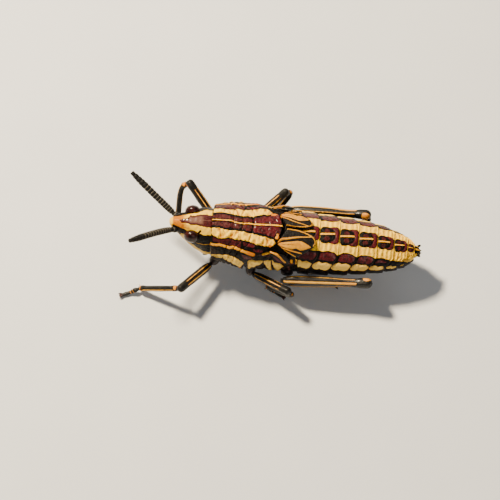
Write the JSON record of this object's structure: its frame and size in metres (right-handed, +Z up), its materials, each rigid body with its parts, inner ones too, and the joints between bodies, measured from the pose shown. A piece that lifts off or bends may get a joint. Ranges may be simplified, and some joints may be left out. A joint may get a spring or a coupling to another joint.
{
  "type": "foam grasshopper nymph, dictyophorus griseus, last instar",
  "caption": "Life-size standing model of a striped foam grasshopper nymph with thick black feelers, short wing pads and folded hind legs.",
  "frame": {"origin": "on the floor, under the middle of the bounding box", "axes": "+X towards the tail, so the head looks along -X, +Y to the animal's right, +Z up"},
  "size_m": [0.0612, 0.0244, 0.0207],
  "materials": {
    "striped_cuticle": "satin horny skin in cream, ochre, maroon and black stripes",
    "wing_pad_cuticle": "satin ochre leaf with black between raised veins",
    "dark_cuticle": "glossy blue-black horn with ochre lines",
    "eye_surface": "wet-looking dark red-brown"
  },
  "bodies": {
    "root": {"head": "striped_cuticle", "labrum": "striped_cuticle", "pronotum": "striped_cuticle", "pterothorax": "striped_cuticle", "abdomen": "striped_cuticle", "terminalia": "striped_cuticle", "eye_left": "eye_surface", "antenna_left": "dark_cuticle", "mandible_left": "dark_cuticle", "maxillary_palp_left": "dark_cuticle", "labial_palp_left": "dark_cuticle", "hind_wing_pad_left": "wing_pad_cuticle", "fore_wing_pad_left": "wing_pad_cuticle", "coxa_left_fore": "dark_cuticle", "femur_left_fore": "dark_cuticle", "tibia_left_fore": "dark_cuticle", "tarsus_left_fore": "dark_cuticle", "coxa_left_mid": "dark_cuticle", "femur_left_mid": "dark_cuticle", "tibia_left_mid": "dark_cuticle", "tarsus_left_mid": "dark_cuticle", "coxa_left_hind": "dark_cuticle", "femur_left_hind": "dark_cuticle", "tibia_left_hind": "dark_cuticle", "tarsus_left_hind": "dark_cuticle", "eye_right": "eye_surface", "antenna_right": "dark_cuticle", "mandible_right": "dark_cuticle", "maxillary_palp_right": "dark_cuticle", "labial_palp_right": "dark_cuticle", "hind_wing_pad_right": "wing_pad_cuticle", "fore_wing_pad_right": "wing_pad_cuticle", "coxa_right_fore": "dark_cuticle", "femur_right_fore": "dark_cuticle", "tibia_right_fore": "dark_cuticle", "tarsus_right_fore": "dark_cuticle", "coxa_right_mid": "dark_cuticle", "femur_right_mid": "dark_cuticle", "tibia_right_mid": "dark_cuticle", "tarsus_right_mid": "dark_cuticle", "coxa_right_hind": "dark_cuticle", "femur_right_hind": "dark_cuticle", "tibia_right_hind": "dark_cuticle", "tarsus_right_hind": "dark_cuticle"}
  },
  "joints": []
}
